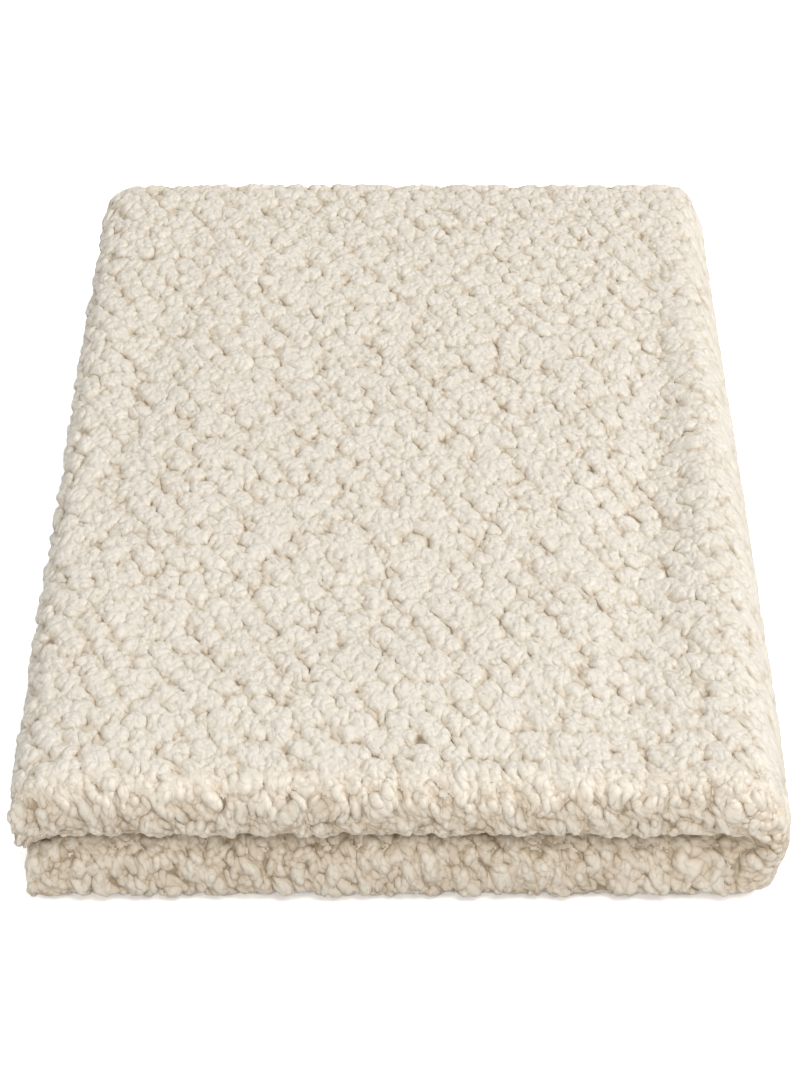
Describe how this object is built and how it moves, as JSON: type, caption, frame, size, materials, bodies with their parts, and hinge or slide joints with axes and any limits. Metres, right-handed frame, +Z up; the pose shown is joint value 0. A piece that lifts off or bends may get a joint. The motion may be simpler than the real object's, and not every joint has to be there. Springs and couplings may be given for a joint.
{
  "type": "folded teddy fleece throw",
  "caption": "Thick cream throw with a chunky curled pile, folded into a soft rectangular stack with rounded folds in front and on the right.",
  "frame": {"origin": "under the middle of the folded throw, on the surface that it lies on", "axes": "+Z up, +Y along the long side from the rounded front folds to the stacked back hems, +X to the last fold"},
  "size_m": [0.4094, 0.6568, 0.0814],
  "materials": {
    "pile": "matte curled pile"
  },
  "bodies": {
    "root": {"throw_cloth": "pile"}
  },
  "joints": []
}
